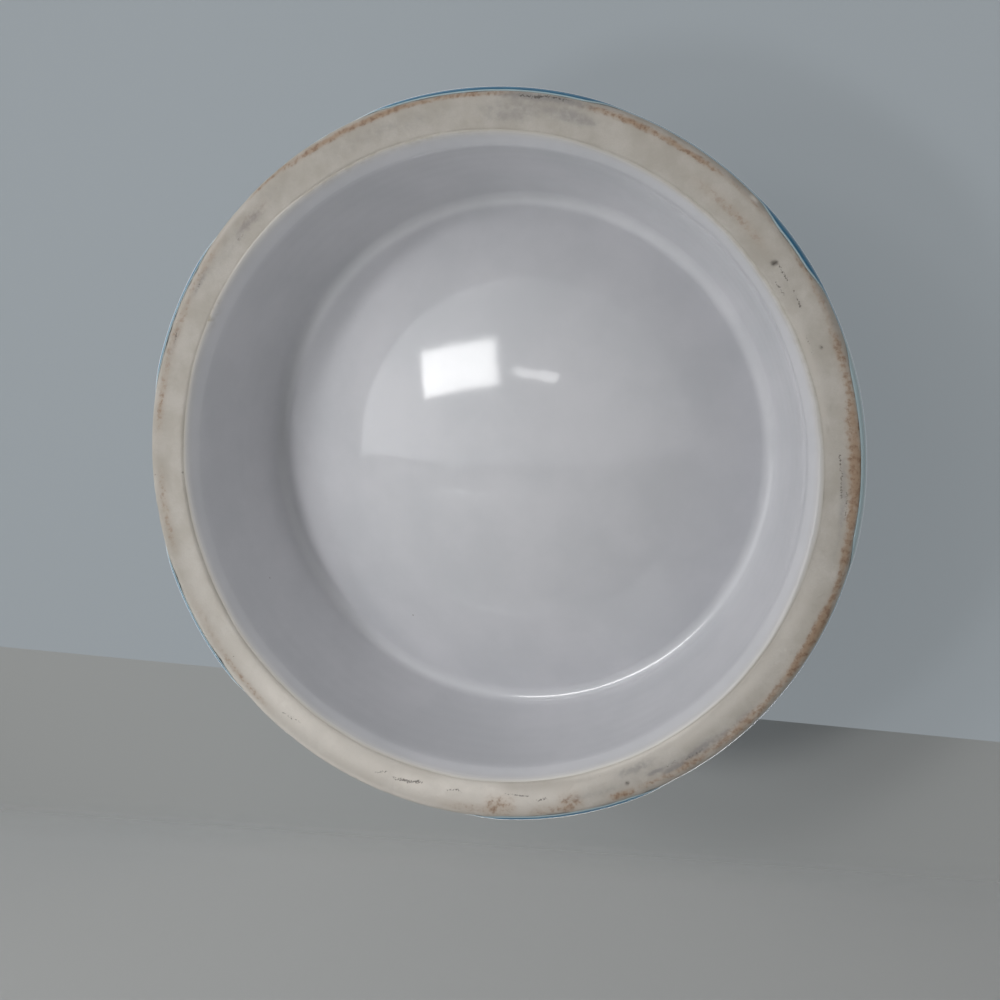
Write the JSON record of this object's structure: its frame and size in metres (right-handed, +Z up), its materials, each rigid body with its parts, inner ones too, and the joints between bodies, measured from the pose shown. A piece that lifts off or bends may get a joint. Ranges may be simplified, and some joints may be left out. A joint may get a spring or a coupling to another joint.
{
  "type": "cat food bowl",
  "caption": "Round glazed pottery cat food bowl with a dished white basin, a nearly straight blue outer wall and a deep white recess inside a bare, worn foot ring.",
  "frame": {"origin": "centre of the foot ring, on the surface that the bowl stands on", "axes": "+Z up along the axis that the bowl is turned about, X and Y along the table"},
  "size_m": [0.16, 0.16, 0.06],
  "materials": {
    "bare_clay": "bare fired clay, worn and stained brown along the outer edge",
    "blue_glaze": "glossy blue glaze, breaking pale at the edges",
    "white_glaze": "glossy white glaze"
  },
  "bodies": {
    "root": {"clay_body": "bare_clay", "outer_glaze": "blue_glaze", "basin_glaze": "white_glaze", "underside_glaze": "white_glaze"}
  },
  "joints": []
}
